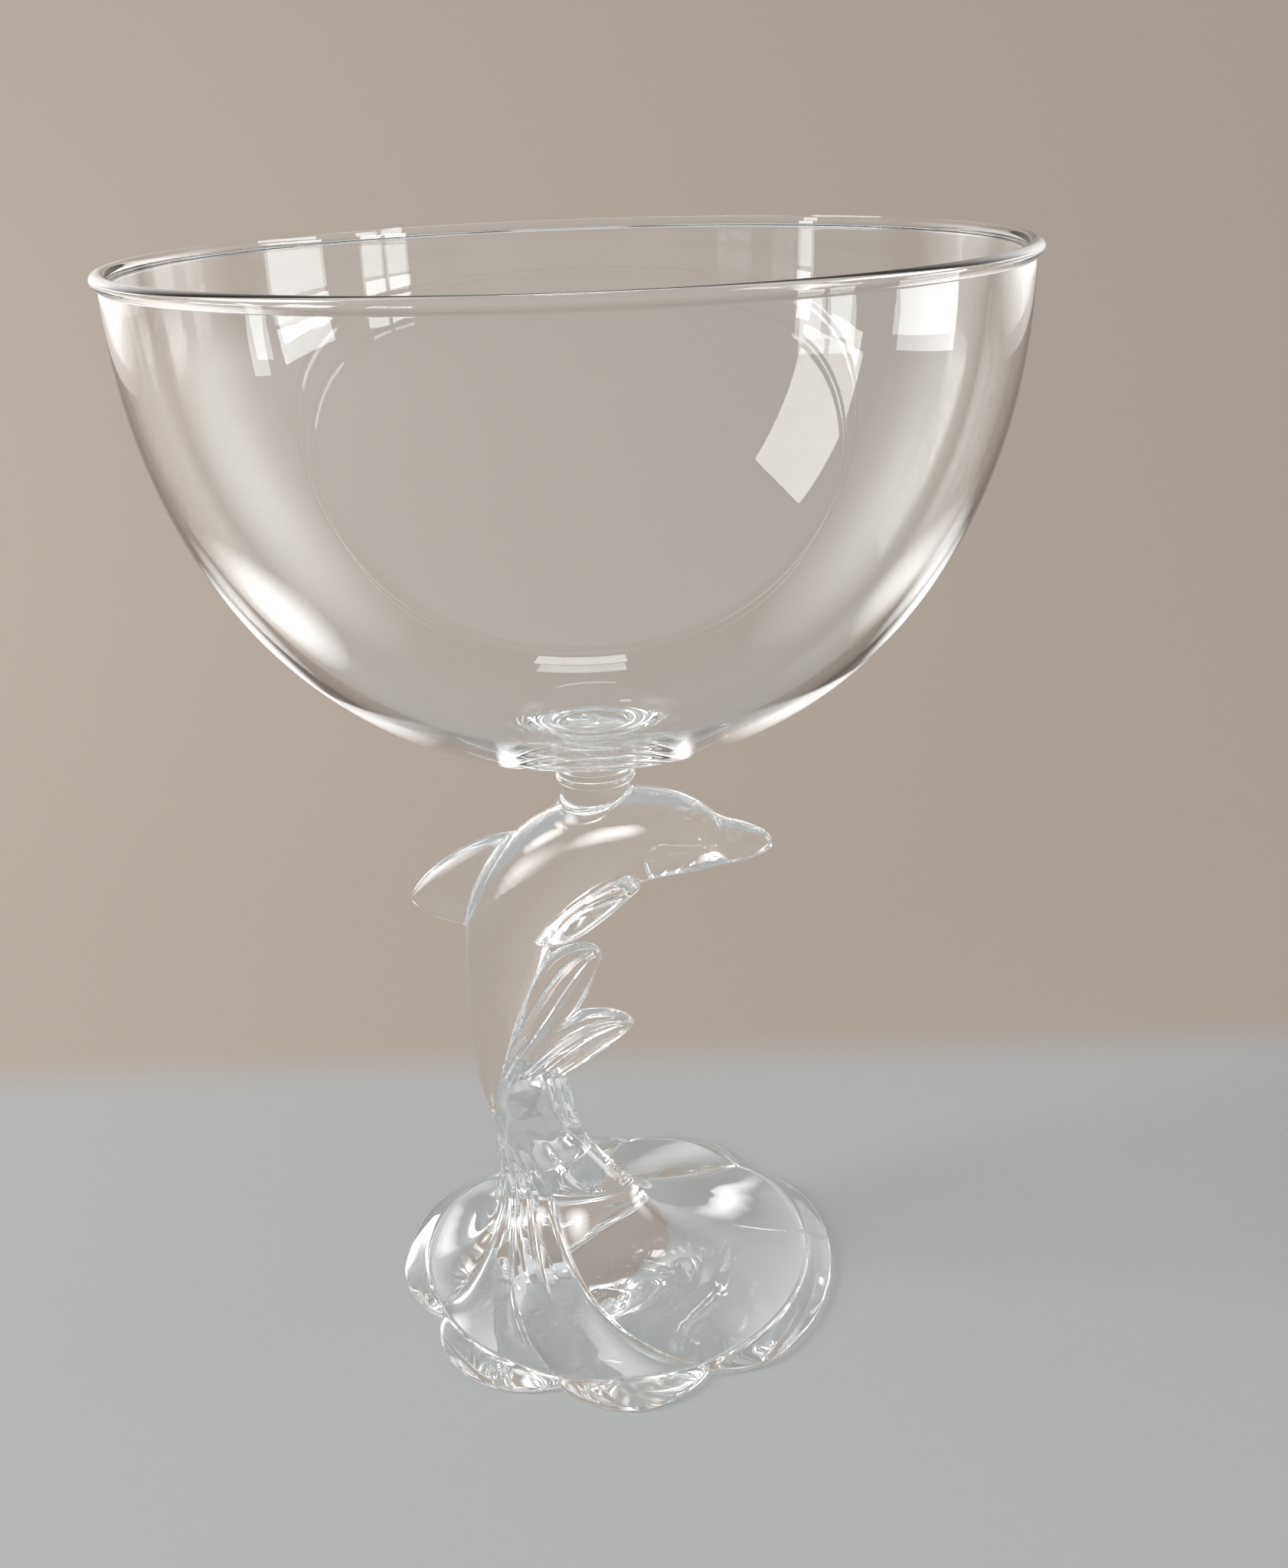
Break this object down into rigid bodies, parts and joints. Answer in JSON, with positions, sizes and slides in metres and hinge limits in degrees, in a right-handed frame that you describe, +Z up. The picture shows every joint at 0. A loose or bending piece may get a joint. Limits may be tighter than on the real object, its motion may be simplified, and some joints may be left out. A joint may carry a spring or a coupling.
{
  "type": "champagne glass",
  "caption": "Clear champagne glass: a wide round bowl carried by a leaping dolphin stem on a lobed wave foot, for serving sparkling wine or dessert.",
  "frame": {"origin": "on the bowl's axis, in the plane that the foot rests on", "axes": "+Z up along the bowl's axis, +X the way the dolphin's beak points, so the dolphin lies along the XZ plane"},
  "size_m": [0.11, 0.11, 0.1484],
  "materials": {
    "clear_glass": "clear, fire polished",
    "pressed_glass": "clear, pressed in a mould and fire polished"
  },
  "bodies": {
    "root": {"bowl": "clear_glass", "weld_collar": "clear_glass", "dolphin_stem": "pressed_glass", "wave_foot": "pressed_glass"}
  },
  "joints": []
}
